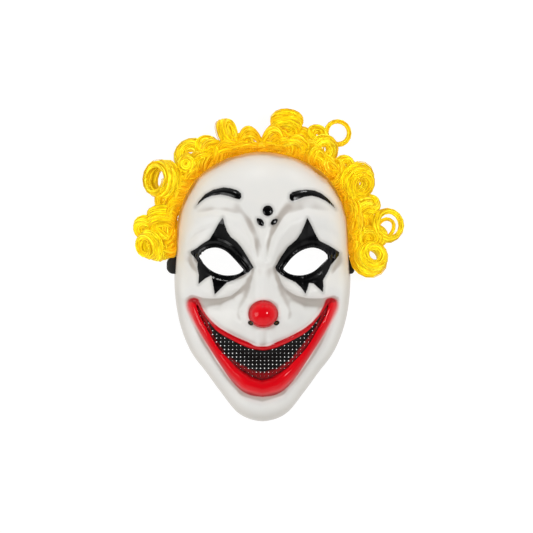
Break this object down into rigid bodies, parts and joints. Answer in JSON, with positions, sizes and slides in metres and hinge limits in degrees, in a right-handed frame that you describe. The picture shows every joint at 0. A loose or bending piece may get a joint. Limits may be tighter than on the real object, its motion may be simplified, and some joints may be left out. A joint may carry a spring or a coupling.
{
  "type": "clown mask with hair",
  "caption": "Full-face formed plastic clown mask with open eyes, a pierced mouth net, curly synthetic hair and an elastic head strap.",
  "frame": {"origin": "middle of the resting mask's box, on the surface that its rim lies on", "axes": "+Z out of the face, +Y towards the top of the head, +X to the viewer's right; the mask lies face up on its rim"},
  "size_m": [0.2458, 0.285, 0.081],
  "materials": {
    "face_plastic": "glossy off-white formed plastic with red and black paint",
    "net_plastic": "black pierced sheet",
    "hair_fibre": "shiny yellow synthetic curls",
    "strap_elastic": "black woven elastic"
  },
  "bodies": {
    "root": {"face_shell": "face_plastic", "mouth_net": "net_plastic", "curly_hair": "hair_fibre", "head_strap": "strap_elastic"}
  },
  "joints": []
}
